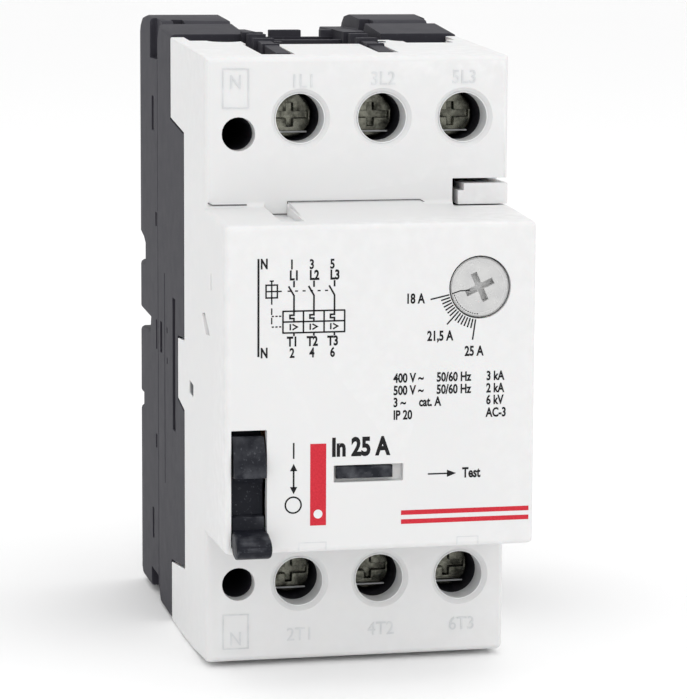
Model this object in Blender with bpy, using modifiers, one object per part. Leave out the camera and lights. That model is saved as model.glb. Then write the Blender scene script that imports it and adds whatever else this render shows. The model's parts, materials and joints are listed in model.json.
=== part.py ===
"""Motor protection breaker: three-pole, thermal-magnetic, with a toggle, a current dial and a test slide.

Run with: blender --background --python part.py

The design is written in millimetres in the breaker's own frame. X runs to the right seen from the front.
Y runs back from the front plate, which is at Y = 0. Z runs up from the middle of the 45 mm front block.
An empty moves that frame so that the world origin is under the middle of the breaker's box, on the floor.
"""

import math

import bmesh
import bpy
from mathutils import Matrix, Vector

MM = 0.001
GAP = 0.3

# Envelope.
HALF_WIDTH = 21.75
BLOCK_HALF_HEIGHT = 22.5
SHOULDER_Y = 15.5
WHITE_BACK_Y = 45.6
CASE_FRONT_Y = 33.4
CASE_BACK_Y = 58.1
BACK_Y = 76.3
FLOOR_Z = -42.0
TOP_FRONT_Z = 44.3
TOP_BACK_Z = 45.8
LEDGE_TOP_Z = 23.5
LEDGE_BOTTOM_Z = -22.7
NOSE_Y = -4.4

# Walls.
COVER_WALL = 1.4
PLATE = 2.0
PHASE_WALL = 1.2

# Poles and terminals.
POLE_PITCH = 11.72
MIDDLE_POLE_X = 3.5
POLE_X = tuple(MIDDLE_POLE_X + POLE_PITCH * step for step in (-1, 0, 1))
NEUTRAL_X = -17.0
UPPER_SCREW_Z = 35.74
LOWER_SCREW_Z = -30.08
UPPER_NEUTRAL_Z = 33.65
LOWER_NEUTRAL_Z = -30.06
ACCESS_RADIUS = 3.6
NEUTRAL_RADIUS = 2.35
HEAD_Y = 23.5
TONGUE_Y = 33.9
BAR = 1.5

# Toggle, dial and test slide.
TOGGLE_X = -18.35
TOGGLE_AXIS_Y = 10.8
TOGGLE_AXIS_Z = -13.4
TOGGLE_SWING = math.radians(52)
CRANK = 5.4
DIAL_X = 13.75
DIAL_Z = 13.55
DIAL_RADIUS = 4.1
CROSS_TURN = math.radians(24.4)
CAM_OFFSET = 1.0
CAM_REST = math.radians(145)
SETTING_PIVOT_X = 3.0
TEST_LEFT_X = -6.2
TEST_RIGHT_X = 1.7
TEST_Z = -11.6

# Switching parts.
CARRIER_Z = 8.0
UPPER_CONTACT_Z = 15.0
LOWER_CONTACT_Z = 1.0
COIL_Z = -13.0
CHAMBER_TOP_Z = 28.6
CHAMBER_BOTTOM_Z = -23.4

SIDE_VIEW = Matrix(((0, 0, 1, 0), (1, 0, 0, 0), (0, 1, 0, 0), (0, 0, 0, 1)))
FRONT_VIEW = Matrix(((1, 0, 0, 0), (0, 0, -1, 0), (0, 1, 0, 0), (0, 0, 0, 1)))
ALONG = {
    "X": Matrix.Rotation(math.pi / 2, 4, "Y"),
    "Y": Matrix.Rotation(-math.pi / 2, 4, "X"),
    "Z": Matrix.Identity(4),
}

MATERIALS = {
    "white_plastic": ((0.80, 0.80, 0.80), 0.42, 0.0),
    "case_plastic": ((0.075, 0.075, 0.085), 0.55, 0.0),
    "toggle_plastic": ((0.030, 0.032, 0.038), 0.40, 0.0),
    "dial_plastic": ((0.72, 0.72, 0.70), 0.15, 0.0),
    "amber_plastic": ((0.45, 0.28, 0.12), 0.50, 0.0),
    "steel": ((0.42, 0.42, 0.41), 0.30, 1.0),
    "copper": ((0.72, 0.38, 0.22), 0.30, 1.0),
    "silver_contact": ((0.80, 0.79, 0.76), 0.25, 1.0),
    "bimetal": ((0.55, 0.50, 0.42), 0.35, 1.0),
}


# ---------------------------------------------------------------- scene helpers


def clear_scene():
    for thing in list(bpy.data.objects):
        bpy.data.objects.remove(thing, do_unlink=True)


def new_collection(name):
    found = bpy.data.collections.new(name)
    bpy.context.scene.collection.children.link(found)
    return found


def make_material(name):
    colour, roughness, metallic = MATERIALS[name]
    material = bpy.data.materials.new(name)
    material.use_nodes = True
    shader = material.node_tree.nodes["Principled BSDF"]
    shader.inputs["Base Color"].default_value = (*colour, 1.0)
    shader.inputs["Roughness"].default_value = roughness
    shader.inputs["Metallic"].default_value = metallic
    return material


def place(mesh, name, origin):
    """Put a mesh, drawn in the breaker's frame, in the cutters; its object's origin goes to origin, in mm."""
    mesh.transform(Matrix.Translation(-Vector(origin) * MM))
    piece = bpy.data.objects.new(name, mesh)
    piece.location = Vector(origin) * MM
    piece.parent = FRAME
    piece.hide_render = True
    piece.display_type = "WIRE"
    CUTTERS.objects.link(piece)
    return piece


def finish(piece, name, material, smooth=False):
    """Make a body a named part of the breaker, with its own material."""
    piece.name = name
    piece.data.name = name
    CUTTERS.objects.unlink(piece)
    PARTS.objects.link(piece)
    piece.hide_render = False
    piece.display_type = "TEXTURED"
    own = make_material(material)
    own.name = f"{material}_{name}"
    piece.data.materials.clear()
    piece.data.materials.append(own)
    if smooth:
        piece.data.shade_smooth()
        piece.data.set_sharp_from_angle(angle=math.radians(35))
    return piece


def face_outwards(mesh):
    shape = bmesh.new()
    shape.from_mesh(mesh)
    bmesh.ops.recalc_face_normals(shape, faces=shape.faces)
    shape.to_mesh(mesh)
    shape.free()


def merged(pieces, name):
    """One object that holds the shapes of several, which may overlap each other."""
    bpy.context.view_layer.update()
    view = bpy.context.evaluated_depsgraph_get()
    into_frame = FRAME.matrix_world.inverted()
    shape = bmesh.new()
    for piece in pieces:
        mesh = bpy.data.meshes.new_from_object(piece.evaluated_get(view))
        mesh.transform(into_frame @ piece.matrix_world)
        face_outwards(mesh)
        shape.from_mesh(mesh)
        bpy.data.meshes.remove(mesh)
        bpy.data.objects.remove(piece, do_unlink=True)
    mesh = bpy.data.meshes.new(name)
    shape.to_mesh(mesh)
    shape.free()
    return place(mesh, name, (0, 0, 0))


def boolean(piece, others, operation):
    tool = merged(others, f"{piece.name}_{operation.lower()}")
    step = piece.modifiers.new(tool.name, "BOOLEAN")
    step.operation = operation
    step.solver = "EXACT"
    step.use_self = True
    step.object = tool
    return piece


def cut(piece, *others):
    return boolean(piece, others, "DIFFERENCE")


def join(piece, *others):
    return boolean(piece, others, "UNION")


# ---------------------------------------------------------------- shapes


def box(low, high, origin=(0, 0, 0), name="block"):
    """A box between two corners, in mm."""
    shape = bmesh.new()
    bmesh.ops.create_cube(shape, size=MM)
    size = Vector(high) - Vector(low)
    centre = (Vector(high) + Vector(low)) / 2
    bmesh.ops.scale(shape, vec=size, verts=shape.verts)
    bmesh.ops.translate(shape, vec=centre * MM, verts=shape.verts)
    mesh = bpy.data.meshes.new(name)
    shape.to_mesh(mesh)
    shape.free()
    return place(mesh, name, origin)


def rod(centre, radius, length, axis="Y", sides=24, origin=(0, 0, 0), name="rod"):
    """A round bar centred on a point, in mm."""
    shape = bmesh.new()
    bmesh.ops.create_cone(shape, cap_ends=True, segments=sides, radius1=radius * MM,
                          radius2=radius * MM, depth=length * MM)
    shape.transform(Matrix.Translation(Vector(centre) * MM) @ ALONG[axis])
    mesh = bpy.data.meshes.new(name)
    shape.to_mesh(mesh)
    shape.free()
    return place(mesh, name, origin)


def prism(outline, low, high, view=SIDE_VIEW, origin=(0, 0, 0), holes=(), name="prism"):
    """A flat outline, in mm, extruded from low to high across the view's plane."""
    curve = bpy.data.curves.new(name, "CURVE")
    curve.dimensions = "2D"
    curve.fill_mode = "BOTH"
    curve.extrude = (high - low) / 2 * MM
    for ring in (outline, *holes):
        spline = curve.splines.new("POLY")
        spline.points.add(len(ring) - 1)
        for point, (across, along) in zip(spline.points, ring):
            point.co = (across * MM, along * MM, 0, 1)
        spline.use_cyclic_u = True
    drawn = bpy.data.objects.new(name, curve)
    CUTTERS.objects.link(drawn)
    mesh = bpy.data.meshes.new_from_object(drawn.evaluated_get(bpy.context.evaluated_depsgraph_get()))
    bpy.data.objects.remove(drawn, do_unlink=True)
    bpy.data.curves.remove(curve)
    shape = bmesh.new()
    shape.from_mesh(mesh)
    bmesh.ops.remove_doubles(shape, verts=shape.verts, dist=0.01 * MM)
    bmesh.ops.dissolve_limit(shape, angle_limit=math.radians(1), verts=shape.verts, edges=shape.edges)
    shape.transform(view @ Matrix.Translation((0, 0, depth_in(view, low, high) * MM)))
    bmesh.ops.recalc_face_normals(shape, faces=shape.faces)
    shape.to_mesh(mesh)
    shape.free()
    return place(mesh, name, origin)


def depth_in(view, low, high):
    """Where the middle of a prism lies along its own normal, which runs to -Y in the front view."""
    middle = (low + high) / 2
    return -middle if view == FRONT_VIEW else middle


def arc(centre, radius, start, end, steps):
    """Points along an arc, in degrees, both ends included."""
    points = []
    for step in range(steps + 1):
        angle = math.radians(start + (end - start) * step / steps)
        points.append((centre[0] + radius * math.cos(angle), centre[1] + radius * math.sin(angle)))
    return points


def coil(centre, radius, wire, length, turns, axis, steps=8, name="coil"):
    """A helical spring or winding centred on a point, in mm, as a closed tube."""
    curve = bpy.data.curves.new(name, "CURVE")
    curve.dimensions = "3D"
    curve.bevel_depth = wire * MM
    curve.bevel_resolution = 1
    curve.use_fill_caps = True
    spline = curve.splines.new("POLY")
    count = int(turns * steps)
    spline.points.add(count)
    for step, point in enumerate(spline.points):
        angle = 2 * math.pi * step / steps
        rise = length * (step / count - 0.5)
        local = Vector((radius * math.cos(angle), radius * math.sin(angle), rise))
        point.co = (*((Vector(centre) + ALONG[axis] @ local) * MM), 1)
    drawn = bpy.data.objects.new(name, curve)
    CUTTERS.objects.link(drawn)
    mesh = bpy.data.meshes.new_from_object(drawn.evaluated_get(bpy.context.evaluated_depsgraph_get()))
    bpy.data.objects.remove(drawn, do_unlink=True)
    bpy.data.curves.remove(curve)
    shape = bmesh.new()
    shape.from_mesh(mesh)
    bmesh.ops.remove_doubles(shape, verts=shape.verts, dist=0.001 * MM)
    bmesh.ops.recalc_face_normals(shape, faces=shape.faces)
    shape.to_mesh(mesh)
    shape.free()
    return place(mesh, name, (0, 0, 0))


def turned(profile, centre, sides, name="turned"):
    """A profile of (radius, distance back) points, in mm, turned about an axis along Y through centre."""
    mesh = bpy.data.meshes.new(name)
    points = [(radius * MM, back * MM, 0) for radius, back in profile]
    mesh.from_pydata(points, [(step, step + 1) for step in range(len(points) - 1)], [])
    piece = place(mesh, name, (0, 0, 0))
    piece.location = Vector(centre) * MM
    turn = piece.modifiers.new("turn", "SCREW")
    turn.axis = "Y"
    turn.steps = sides
    turn.render_steps = sides
    turn.use_merge_vertices = True
    turn.merge_threshold = 0.01 * MM
    turn.use_normal_calculate = True
    return piece


def round_edges(piece, width, steps, chosen):
    """Round the edges whose middle, in mm, satisfies chosen."""
    shape = bmesh.new()
    shape.from_mesh(piece.data)
    edges = []
    for edge in shape.edges:
        if edge.is_manifold and edge.calc_face_angle(0) < math.radians(25):
            continue
        middle = (edge.verts[0].co + edge.verts[1].co) / 2 / MM + piece.location / MM
        if chosen(middle):
            edges.append(edge)
    bmesh.ops.bevel(shape, geom=edges, offset=width * MM, segments=steps, profile=0.5,
                    affect="EDGES", clamp_overlap=True)
    shape.to_mesh(piece.data)
    shape.free()
    return piece


# ---------------------------------------------------------------- housings


def cover_outline():
    """The white cover seen from the side: a 45 mm front block between two stepped-back shoulders."""
    return [
        (0, -BLOCK_HALF_HEIGHT), (SHOULDER_Y, LEDGE_BOTTOM_Z), (SHOULDER_Y, -41.25), (24, -41.9),
        (WHITE_BACK_Y, -41.9), (WHITE_BACK_Y, -33.0), (CASE_FRONT_Y, -31.5), (CASE_FRONT_Y, -7.9),
        (39.2, -6.9), (39.2, 2.0), (CASE_FRONT_Y, 2.4), (CASE_FRONT_Y, 32.6), (WHITE_BACK_Y, 34.0),
        (WHITE_BACK_Y, TOP_BACK_Z), (SHOULDER_Y, TOP_FRONT_Z), (SHOULDER_Y, LEDGE_TOP_Z),
        (0, BLOCK_HALF_HEIGHT),
    ]


def cover_hollows():
    """The spaces inside the cover; the front one is split by two ribs that carry on the phase walls."""
    inner_x = HALF_WIDTH - COVER_WALL
    shoulders = prism(
        [(17.9, -39.9), (60, -39.9), (60, 43.9), (17.9, 42.5)], -inner_x, inner_x, name="cover_shoulders")
    hollows = [shoulders]
    walls = [-inner_x - PHASE_WALL / 2, POLE_X[0] + POLE_PITCH / 2, POLE_X[1] + POLE_PITCH / 2,
             inner_x + PHASE_WALL / 2]
    for left, right in zip(walls, walls[1:]):
        low = (left + PHASE_WALL / 2, PLATE, -21.0)
        high = (right - PHASE_WALL / 2, 18.2, 21.2)
        hollows.append(box(low, high, name="cover_front_room"))
    return hollows


def cover_round_holes():
    """Screwdriver holes, each with a soft lip, and the two neutral holes."""
    lip = 0.6
    profile = [(0, -1), (ACCESS_RADIUS + lip + 1, -1), (ACCESS_RADIUS, lip), (ACCESS_RADIUS, 5), (0, 5)]
    holes = []
    for z in (UPPER_SCREW_Z, LOWER_SCREW_Z):
        for x in POLE_X:
            holes.append(turned(profile, (x, SHOULDER_Y, z), 32, name="screw_hole"))
    for z in (UPPER_NEUTRAL_Z, LOWER_NEUTRAL_Z):
        holes.append(rod((NEUTRAL_X, 18, z), NEUTRAL_RADIUS, 8, sides=24, name="neutral_hole"))
    return holes


def cover_wire_entries():
    """Openings in the cover's two ends: it stops short between its side rims, and wires go in over each pole."""
    cuts = []
    for low_z, high_z in ((34.2, 50.0), (-50.0, -33.2)):
        cuts.append(box((-19.7, 40.0, low_z), (20.0, 60.0, high_z), name="end_step"))
        cuts.append(box((-12.4, 34.2, low_z), (7.5, 60.0, high_z), name="end_middle"))
        cuts.append(box((-12.9, 19.5, low_z), (-8.2, 35.0, high_z), name="end_slot"))
        cuts.append(box((4.3, 21.5, low_z), (7.2, 35.0, high_z), name="end_slot"))
        for x in (-14.6, 12.6):
            cuts.append(rod((x, 40.6, (low_z + high_z) / 2), 2.8, 15.8, axis="Z", name="end_scoop"))
        cuts.append(box((POLE_X[2] - 3.5, 35.6, low_z), (POLE_X[2] + 3.5, 45.0, high_z), name="wire_entry"))
    return cuts


def cover_front_cuts():
    """The toggle slot, dial hole, test recess, ledge channel, blank's pocket and the marks in the sides."""
    slot_low_x = TOGGLE_X - 2.45
    slot_high_x = TOGGLE_X + 2.45
    cuts = [
        box((slot_low_x, -3, -21.4), (slot_high_x, 3, -5.35), name="toggle_slot"),
        box((-20.9, 1.3, -21.35), (-15.6, 22.4, 0.2), name="toggle_room"),
        rod((-21.0, TOGGLE_AXIS_Y, TOGGLE_AXIS_Z), 1.5, 1.3, axis="X", name="toggle_bearing"),
        rod((DIAL_X, 1.5, DIAL_Z), DIAL_RADIUS + 0.25, 6, sides=36, name="dial_hole"),
        box((-6.6, -1, -12.9), (3.1, 1.25, -10.55), name="test_recess"),
        box((-4.7, 0, -12.35), (0.6, 4, -10.85), name="test_slot"),
        box((-13.4, 3.0, 22.15), (-10.15, 15.5, 30.0), name="ledge_channel"),
        box((13.65, 13.9, 23.15), (22.5, 21.6, 27.1), name="blank_pocket"),
        box((-7.0, 2.0, -13.4), (4.4, 5.0, -9.8), name="test_way"),
        box((8.4, 2.0, 8.0), (10.5, 7.8, 19.0), name="dial_way"),
    ]
    window = [(25.6, -3.0), (29.0, -2.7), (29.0, -4.5), (25.6, -4.7)]
    cuts.append(prism(window, -23.0, -19.0, name="side_window"))
    mark = [(11.4, 6.1), (14.7, 5.9), (18.0, 8.5), (15.5, 8.8)]
    cuts.append(prism(mark, -23.0, -HALF_WIDTH + 0.45, name="side_mark"))
    cuts.append(box((-23.0, 10.2, 12.6), (-HALF_WIDTH + 0.35, 10.8, 14.9), name="side_mark"))
    return cuts


def make_front_cover():
    cover = prism(cover_outline(), -HALF_WIDTH, HALF_WIDTH, name="front_cover")
    round_edges(cover, 0.8, 3, lambda p: p.y < 20 and p.z < 44 or p.z > 43.5 and abs(p.x) < 1 and p.y < 20)
    round_edges(cover, 0.5, 2, lambda p: p.y > 25 and abs(p.z) > 38 and abs(p.x) > HALF_WIDTH - 0.1)
    cut(cover, *cover_hollows(), *cover_round_holes(), *cover_wire_entries(), *cover_front_cuts())
    pivot = rod((SETTING_PIVOT_X, 4.5, DIAL_Z), 0.7, 6.0, sides=16, name="setting_post")
    stop = box((4.4, 1.6, -12.6), (5.4, 4.6, -10.6), name="spring_stop")
    ledge = prism([(2.0, 21.7), (2.0, 22.3), (14.6, 24.0), (17.2, 24.0), (17.2, 21.7)], -9.8, 8.8,
                  name="ledge_step")
    join(cover, pivot, stop, ledge)
    slide_way = box((-16.0, 4.6, -13.4), (20.4, 8.6, -9.7), name="slide_way")
    cut(cover, slide_way)
    return finish(cover, "front_cover", "white_plastic", smooth=True)


def case_outline():
    """The dark case seen from the side, behind the cover."""
    return [
        (CASE_FRONT_Y + GAP, -31.2), (WHITE_BACK_Y + GAP, -32.7), (WHITE_BACK_Y + GAP, FLOOR_Z),
        (56.9, FLOOR_Z), (CASE_BACK_Y, -40.8), (CASE_BACK_Y, 46.0), (56.9, 47.3),
        (WHITE_BACK_Y + GAP, 46.2), (WHITE_BACK_Y + GAP, 33.7), (CASE_FRONT_Y + GAP, 32.3),
        (CASE_FRONT_Y + GAP, 2.7), (39.5, 2.3), (39.5, -7.2), (CASE_FRONT_Y + GAP, -8.2),
    ]


def case_terminal_blocks():
    """Two blocks that reach forward inside the cover's shoulders and hold the clamps."""
    half = HALF_WIDTH - COVER_WALL - GAP
    upper = box((-half, 18.2, CHAMBER_TOP_Z - 0.4), (half, 47, 42.0), name="upper_block")
    lower = box((-half, 18.2, -39.6), (half, 47, CHAMBER_BOTTOM_Z + 0.4), name="lower_block")
    walls = []
    for x in (POLE_X[0] - POLE_PITCH / 2, POLE_X[0] + POLE_PITCH / 2, POLE_X[1] + POLE_PITCH / 2):
        low = (x - PHASE_WALL / 2, 18.6, CHAMBER_BOTTOM_Z - 1)
        high = (x + PHASE_WALL / 2, 58, CHAMBER_TOP_Z + 1)
        walls.append(box(low, high, name="phase_wall"))
    return [upper, lower, *walls]


def case_toggle_bracket():
    """The plate that carries the toggle pin's right end, and the two shelves that hold the trip lever."""
    x = POLE_X[0] - POLE_PITCH / 2
    plate = box((x - 0.6, 6.5, -20.4), (x + 0.6, 19.5, -9.7), name="toggle_bracket")
    lower = box((x - 0.4, 10.4, -4.4), (-10.9, 19.4, -3.2), name="lever_shelf")
    upper = box((x - 0.4, 10.4, 2.2), (-10.9, 19.4, 3.4), name="lever_shelf")
    return [plate, lower, upper]


def case_chambers():
    """One room for each pole and one for the toggle mechanism, open to the front."""
    inner_x = HALF_WIDTH - COVER_WALL
    walls = [-inner_x - PHASE_WALL / 2, POLE_X[0] - POLE_PITCH / 2, POLE_X[0] + POLE_PITCH / 2,
             POLE_X[1] + POLE_PITCH / 2, inner_x + PHASE_WALL / 2]
    rooms = []
    for left, right in zip(walls, walls[1:]):
        low = (left + PHASE_WALL / 2, 30.0, CHAMBER_BOTTOM_Z)
        high = (right - PHASE_WALL / 2, CASE_BACK_Y - 1.6, CHAMBER_TOP_Z)
        rooms.append(box(low, high, name="chamber"))
    return rooms


def case_terminal_cells():
    """For each terminal: the clamp's cell, the screwdriver bore, the wire entry and the bar's slot."""
    cuts = []
    for screw_z, up in ((UPPER_SCREW_Z, 1), (LOWER_SCREW_Z, -1)):
        inner = screw_z - up * 5.6
        outer = screw_z + up * 5.4
        far = screw_z + up * 14
        room = CHAMBER_TOP_Z if up > 0 else CHAMBER_BOTTOM_Z
        for x in POLE_X:
            cell = (min(inner, outer), max(inner, outer))
            entry = (min(outer, far) - 0.5, max(outer, far) + 0.5)
            slot = (min(inner, room) - 0.5, max(inner, room) + 0.5)
            cuts.append(box((x - 4.1, 26.7, cell[0]), (x + 4.1, 44.1, cell[1]), name="clamp_cell"))
            cuts.append(rod((x, 22.5, screw_z), ACCESS_RADIUS, 10, sides=32, name="driver_bore"))
            cuts.append(box((x - 3.4, 35.8, entry[0]), (x + 3.4, 41.8, entry[1]), name="wire_entry"))
            cuts.append(box((x - 3.0, TONGUE_Y - GAP, slot[0]), (x + 3.0, TONGUE_Y + BAR + GAP, slot[1]),
                            name="bar_slot"))
    for z in (UPPER_NEUTRAL_Z, LOWER_NEUTRAL_Z):
        cuts.append(rod((NEUTRAL_X, 28, z), NEUTRAL_RADIUS, 24, sides=24, name="neutral_bore"))
    return cuts


def case_side_marks():
    """Slots, grooves and a seam moulded in the two sides."""
    slots = [
        (41.9, 44.3, -12.5, 7.3, 1.0), (54.4, 56.3, -2.5, 2.2, 1.0), (49.2, 49.9, 1.3, 2.1, 1.0),
        (49.2, 49.9, -3.4, -2.5, 1.0), (51.6, 52.0, -22.0, 10.0, 0.35),
    ]
    cuts = []
    for front, back, low, high, depth in slots:
        for side in (-1, 1):
            face = side * HALF_WIDTH
            xs = sorted((face + side, face - side * depth))
            cuts.append(box((xs[0], front, low), (xs[1], back, high), name="side_slot"))
    return cuts


def case_top_features():
    """The low middle of the case's two ends with its upright tabs, and the ribs that clip the cover."""
    cuts = []
    adds = []
    for up in (1, -1):
        face = 45.3 if up > 0 else 41.3
        outside = sorted((up * face, up * 52))
        cuts.append(box((-10.5, 40, outside[0]), (10.1, 60, outside[1]), name="end_low"))
        pocket = sorted((up * 33, up * 52))
        cuts.append(box((-9.4, 47.6, pocket[0]), (9.0, 55.4, pocket[1]), name="end_pocket"))
        top = 46.4 if up > 0 else 41.9
        tab = sorted((up * 38, up * top))
        for left, right in ((-4.9, -0.1), (3.0, 7.4)):
            adds.append(box((left, 55.6, tab[0]), (right, 57.4, tab[1]), name="end_tab"))
        outer = 46.5 if up > 0 else 41.8
        inner = 44.6 if up > 0 else 40.9
        for left, right, front in ((-10.6, -8.6, 21.0), (4.7, 6.8, 23.0)):
            rib = [(front, up * 39), (front, up * inner), (46.5, up * outer), (56, up * outer), (56, up * 39)]
            adds.append(prism(rib, left, right, name="clip_rib"))
    return cuts, adds


def case_mechanism_ways():
    """Slots in the phase walls for the contact carrier, and round holes for the pins."""
    beam = box((-20.1, 17.5, CARRIER_Z - 2.9), (20.1, 29.0, CARRIER_Z + 2.9), name="carrier_way")
    pin = rod((-14.4, TOGGLE_AXIS_Y, TOGGLE_AXIS_Z), 1.5, 3, axis="X", name="pin_hole")
    lever = rod((-12.2, 12.0, -0.5), 1.15, 10, axis="Z", name="lever_hole")
    slide = box((-16, 4.0, -13.4), (-12, 8.6, -9.7), name="slide_notch")
    return [beam, pin, lever, slide]


def make_case():
    case = prism(case_outline(), -HALF_WIDTH, HALF_WIDTH, name="case")
    round_edges(case, 0.7, 2, lambda p: p.y > 46.5 and abs(p.x) > HALF_WIDTH - 0.1 and abs(p.z) > 38)
    end_cuts, end_adds = case_top_features()
    cut(case, *case_chambers(), *end_cuts)
    join(case, *case_terminal_blocks(), *case_toggle_bracket(), *end_adds)
    cut(case, *case_terminal_cells(), *case_mechanism_ways(), *case_side_marks())
    return finish(case, "case", "case_plastic", smooth=True)


def rear_outline():
    """The rear base seen from the side, with the three slots that take a carrier's rail and tongues."""
    return [
        (CASE_BACK_Y + GAP, -39.3), (59.7, -39.6), (67.0, -41.3), (75.2, -41.3), (BACK_Y, -40.2),
        (BACK_Y, -13.7), (73.6, -13.7), (73.6, -11.8), (BACK_Y, -11.8),
        (BACK_Y, -1.1), (66.6, -0.6), (66.1, 1.3), (BACK_Y, 1.7),
        (BACK_Y, 9.5), (71.5, 9.5), (71.5, 12.3), (72.8, 13.0), (BACK_Y, 13.7),
        (BACK_Y, 45.6), (75.6, 46.8), (74.0, 47.8), (70.5, 48.2), (60.3, 47.6), (CASE_BACK_Y + GAP, 46.4),
    ]


def make_rear_base():
    base = prism(rear_outline(), -HALF_WIDTH, HALF_WIDTH, name="rear_base")
    round_edges(base, 0.6, 2, lambda p: abs(p.x) > HALF_WIDTH - 0.1 and (p.y > 60 or p.z > 46))
    cuts = [
        box((-19.6, 57, 16.5), (19.6, 73.4, 43.0), name="upper_room"),
        box((-19.6, 57, -37.5), (-5.6, 71.0, -16.5), name="lower_room"),
        box((5.6, 57, -37.5), (19.6, 71.0, -16.5), name="lower_room"),
        box((-19.6, 57, -12.0), (19.6, 63.0, 14.5), name="middle_room"),
        box((-10.2, 57, 44.5), (7.0, 78, 50), name="end_low"),
        box((6.9, 57, 46.1), (10.5, 78, 50), name="end_step"),
        box((20.6, 57, 46.2), (23, 62, 50), name="end_corner"),
        box((-4.6, 69.6, -43), (4.6, 77, 0.3), name="latch_way"),
    ]
    for side in (-1, 1):
        edge = side * HALF_WIDTH
        shallow = sorted((edge + side, edge - side * 1.0))
        for front, back, low, high in (
            (CASE_BACK_Y - 1, 65.5, 41.9, 50), (CASE_BACK_Y - 1, 65.8, -43, -38.0),
            (59.4, 60.7, 16.4, 18.5), (62.2, 64.0, 30.9, 36.1), (59.6, 60.9, -18.1, -16.0),
            (63.0, 64.6, -33.0, -28.2), (59.3, 60.4, -2.6, 1.9),
        ):
            cuts.append(box((shallow[0], front, low), (shallow[1], back, high), name="side_slot"))
    for left in (-19.0, 10.4):
        cuts.append(box((left, 57, 45.0), (left + 1.7, 62.6, 50), name="end_notch"))
    cut(base, *cuts)
    join(base, box((-1.8, 68.0, -29.9), (1.8, 73.6, -28.9), name="spring_post"))
    return finish(base, "rear_base", "case_plastic", smooth=True)


def make_side_blank():
    """The white insert that closes the pocket at the cover's right, held a little clear of it."""
    blank = box((14.45, SHOULDER_Y, 23.42), (21.7, 21.2, 26.4), name="side_blank")
    notch = box((14.0, 15.0, 25.4), (15.3, 22.0, 27.0), name="blank_notch")
    cut(blank, notch)
    return finish(blank, "side_blank", "white_plastic")


# ---------------------------------------------------------------- toggle and contacts


def toggle_outline():
    """The toggle seen from the side: a hub, a drum sector, a thumb rise above and a nose below."""
    centre = (TOGGLE_AXIS_Y, TOGGLE_AXIS_Z)
    hub = arc(centre, 3.4, 68, -68, 8)
    rise = arc(centre, 12.2, 172, 144, 8)
    drum_above = arc(centre, 10.5, 140, 132, 2)
    below = [
        (3.9, -21.1), (0.9, -20.2), (-0.4, -21.0), (-0.4, -21.8), (-1.0, -22.3), (-2.6, -22.5), (-3.9, -22.0),
        (NOSE_Y, -21.2), (NOSE_Y, -20.7), (-3.6, -19.9), (-1.6, -19.3), (0.6, -19.1), (0.7, -17.4),
        (1.8, -17.2), (1.8, -13.2), (1.1, -12.4), (0.9, -11.9),
    ]
    return [*hub, (7.4, -19.4), *below, *rise, *drum_above]


def make_toggle():
    half = 2.2
    origin = (TOGGLE_X, TOGGLE_AXIS_Y, TOGGLE_AXIS_Z)
    toggle = prism(toggle_outline(), TOGGLE_X - half, TOGGLE_X + half, origin=origin, name="toggle")
    nose = prism([(-0.5, -19.25), (-1.6, -19.2), (-3.6, -19.8), (NOSE_Y, -20.6), (NOSE_Y, -21.3),
                  (-3.9, -22.1), (-2.6, -22.6), (-1.0, -22.4), (-0.5, -21.9)],
                 TOGGLE_X - half - 0.25, TOGGLE_X + half + 0.25, origin=origin, name="toggle_nose")
    round_edges(nose, 0.4, 2, lambda p: p.y < -0.7)
    crank = rod((-15.75, TOGGLE_AXIS_Y - CRANK * math.sin(TOGGLE_SWING / 2),
                 TOGGLE_AXIS_Z + CRANK * math.cos(TOGGLE_SWING / 2)), 0.9, 1.6, axis="X", sides=16,
                origin=origin, name="crank_pin")
    arm = prism([(9.4, -12.2), (7.2, -8.9), (8.0, -7.4), (9.6, -7.6), (12.4, -11.0)],
                TOGGLE_X - half, TOGGLE_X + half, origin=origin, name="crank_arm")
    bore = rod(origin, 1.5, 8, axis="X", origin=origin, name="toggle_bore")
    join(toggle, nose, arm, crank)
    cut(toggle, bore)
    return finish(toggle, "toggle", "toggle_plastic", smooth=True)


def make_toggle_pin():
    pin = rod(((-21.3 - 13.6) / 2, TOGGLE_AXIS_Y, TOGGLE_AXIS_Z), 1.25, 7.7, axis="X", name="toggle_pin")
    return finish(pin, "toggle_pin", "steel", smooth=True)


def make_contact_carrier():
    """The beam that moves all three contact bridges, with a yoke that the toggle's crank drives."""
    low_z = CARRIER_Z - 2.5
    high_z = CARRIER_Z + 2.5
    carrier = box((-19.6, 20.2, low_z), (19.4, 22.8, high_z), name="contact_carrier")
    crank_y = TOGGLE_AXIS_Y - CRANK * math.sin(TOGGLE_SWING / 2)
    yoke = prism([(20.4, high_z - 0.2), (22.6, high_z - 0.2), (22.6, 2.0), (16.5, -5.2), (16.5, -10.9),
                  (5.8, -10.9), (5.8, -5.7), (13.5, -5.7), (20.4, 3.0)], -15.95, -15.0,
                 holes=([(crank_y - 1.15, -10.0), (crank_y + 1.15, -10.0), (crank_y + 1.15, -6.5),
                         (crank_y - 1.15, -6.5)],), name="yoke")
    frames = []
    for x in POLE_X:
        frames.append(box((x - 4.4, 22.0, low_z), (x + 4.4, 28.4, high_z), name="bridge_frame"))
    join(carrier, *frames)
    windows = []
    for x in POLE_X:
        windows.append(box((x - 3.0, 22.8, low_z - 1), (x + 3.0, 26.9, high_z + 1), name="bridge_window"))
    cut(carrier, *windows)
    join(carrier, yoke)
    return finish(carrier, "contact_carrier", "amber_plastic")


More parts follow.
